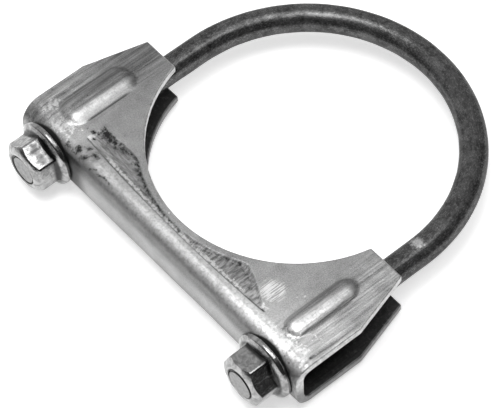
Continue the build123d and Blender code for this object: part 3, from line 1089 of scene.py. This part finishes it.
def nut_material():
    """Zinc plate over cold-headed steel: drawing lines, soft stains, painted shade in the bore and corners.
    """
    s = Shader("nut_zinc")
    grain = s.noise(3.4, 3, 0.6)
    cloud = s.noise(0.45, 4, 0.65, warp=0.7)
    drawn = s.noise(1.2, 3, 0.6, stretch=(1, 10, 1), shift=9)
    value = s.ramp(cloud, 0.35, 0.65, 0.24, 0.44)
    value = s.math("ADD", value, s.around(drawn, 0.22))
    value = s.math("ADD", value, s.around(grain, 0.16))
    # two stains on the left nut
    smear = s.around(cloud, 3.2)
    stain_left = s.near((-47.4, -59.6), 0.5, 1.9, smear)
    stain_right = s.near((-44.0, -59.4), 0.4, 2.0, smear)
    stain = s.math("MAXIMUM", stain_left, stain_right)
    value = s.mix(s.math("MULTIPLY", stain, 0.9), value, s.ramp(drawn, 0.35, 0.65, 0.07, 0.20))
    # painted shade in the bore and round the hexagon's foot
    value = s.mix(s.mask("bore_corner_shade"), value, 0.03)
    rough = s.math("ADD", s.ramp(cloud, 0.35, 0.65, 0.27, 0.15), s.around(drawn, 0.06))
    rough = s.mix(stain, rough, 0.40)
    bumps = [(grain, 0.02), (drawn, 0.03), (cloud, 0.13)]
    return s.finish(s.grey(value), 1.0, rough, bumps)


# ---------------------------------------------------------------- stage, light and camera

# Pale floor: the light it gives off by itself, like a backlit table, where that fades out, and half its side
FLOOR_GLOW = 0.50
FLOOR_NEAR = 90
FLOOR_FAR = 260
FLOOR_HALF = 3000

# Round lamps: name, direction from the part, half angle in degrees, radiance, distance in metres
LAMPS = (
    ("key", (0.07, -0.04, 0.99), 26, 1.7, 1.2),
    ("key_middle", (-0.02, -0.13, 0.99), 12, 6.0, 1.15),
    ("back", (0.30, 0.32, 0.90), 8, 3.8, 1.1),
)

# Radiance of the room at the left and at the right
ROOM_LEFT = 0.70
ROOM_RIGHT = 0.03

# Dark places in the room: direction, inner and outer angle in degrees, share of the light that is left
DARK_CARDS = (((-0.46, -0.88, -0.05), 12, 40, 0.25), ((0.15, -0.98, 0.1), 15, 50, 0.3))

# Camera fitted to the part's own edges: lengths in mm, roll in degrees
CAMERA_PLACE = (409.72, -333.21, 714.66)
CAMERA_TARGET = (3.98, -22.92, 0.0)
CAMERA_ROLL = -3.4986
CAMERA_LENS = 222.45
SENSOR_WIDTH = 36.0


def build_stage():
    """Pale floor under the part's lowest point."""
    floor_z = cad_box[0].z
    mesh = bpy.data.meshes.new("floor")
    half = FLOOR_HALF * MM
    corners = [(half * x, half * y, floor_z) for x, y in ((-1, -1), (1, -1), (1, 1), (-1, 1))]
    mesh.from_pydata(corners, [], [(0, 1, 2, 3)])
    floor = bpy.data.objects.new("floor", mesh)
    bpy.context.scene.collection.objects.link(floor)
    s = Shader("floor_pale")
    ends = {0: s.place, 1: (0, -10, 0)}
    away = s.node("ShaderNodeVectorMath", ends, operation="DISTANCE").outputs["Value"]
    strength = s.ramp(away, FLOOR_NEAR, FLOOR_FAR, FLOOR_GLOW, 0.0)
    glow = {"Emission Color": (1, 1, 1, 1), "Emission Strength": strength}
    shade = s.grey(s.ramp(away, FLOOR_NEAR, FLOOR_FAR, 0.95, 0.55))
    mesh.materials.append(s.finish(shade, 0.0, 0.9, [], **glow))


def add_softbox(name, towards, half_angle, radiance, distance):
    """Round area light seen from the part in a direction, under a half angle, with a set radiance."""
    light = bpy.data.lights.new(name, "AREA")
    light.shape = "DISK"
    radius = distance * tan(radians(half_angle))
    light.size = 2 * radius
    light.energy = radiance * pi * pi * radius**2
    obj = bpy.data.objects.new(name, light)
    direction = Vector(towards).normalized()
    obj.location = direction * distance
    obj.rotation_euler = direction.to_track_quat("Z", "Y").to_euler()
    bpy.context.scene.collection.objects.link(obj)


def build_light():
    """Soft overhead key, brighter in its middle, in a room pale on the left and dark on the right."""
    for name, towards, half_angle, radiance, distance in LAMPS:
        add_softbox(name, towards, half_angle, radiance, distance)
    world = bpy.data.worlds.new("room")
    world.use_nodes = True
    s = Tree(world.node_tree)
    direction = s.node("ShaderNodeTexCoord").outputs["Generated"]
    sideways = {0: direction, 1: (1, 0, 0)}
    side = s.node("ShaderNodeVectorMath", sideways, operation="DOT_PRODUCT").outputs["Value"]
    room = s.ramp(side, -1.0, 0.8, ROOM_LEFT, ROOM_RIGHT)
    for towards, inner, outer, share in DARK_CARDS:
        card = {0: direction, 1: Vector(towards).normalized()}
        away = s.node("ShaderNodeVectorMath", card, operation="DOT_PRODUCT").outputs["Value"]
        room = s.math("MULTIPLY", room, s.ramp(away, cos(radians(outer)), cos(radians(inner)), 1.0, share))
    glow = s.node("ShaderNodeBackground", {"Color": (1, 1, 1, 1), "Strength": room})
    s.node("ShaderNodeOutputWorld", {"Surface": glow.outputs[0]})
    bpy.context.scene.world = world


def build_camera():
    """Camera at the fitted place, looking at the target and rolled about its own axis."""
    camera = bpy.data.cameras.new("camera")
    camera.lens = CAMERA_LENS
    camera.sensor_width = SENSOR_WIDTH
    camera.clip_start = 0.01
    camera.clip_end = 20.0
    obj = bpy.data.objects.new("camera", camera)
    place = Vector(CAMERA_PLACE) * MM
    aim = Vector(CAMERA_TARGET) * MM - place
    turn = aim.to_track_quat("-Z", "Y")
    obj.rotation_mode = "QUATERNION"
    obj.rotation_quaternion = turn @ Matrix.Rotation(radians(CAMERA_ROLL), 3, "Z").to_quaternion()
    obj.location = place
    bpy.context.scene.collection.objects.link(obj)
    bpy.context.scene.camera = obj


# ---------------------------------------------------------------- assembly

def dress(obj, body, node, material):
    """Gives a piece its material and puts it on its CAD body in place of a CAD node."""
    obj.data.materials.clear()
    obj.data.materials.append(material)
    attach(obj, body)
    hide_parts(node)


nut_finish = nut_material()
dress(build_saddle(), "saddle", "saddle", saddle_material())
dress(build_u_bolt(), "u_bolt", "u_bolt", rod_material())
for node, side in (("nut_left", -1), ("nut_right", 1)):
    dress(build_nut(node, side), node, node, nut_finish)

build_stage()
build_light()
build_camera()
bpy.context.scene.view_settings.view_transform = "Standard"
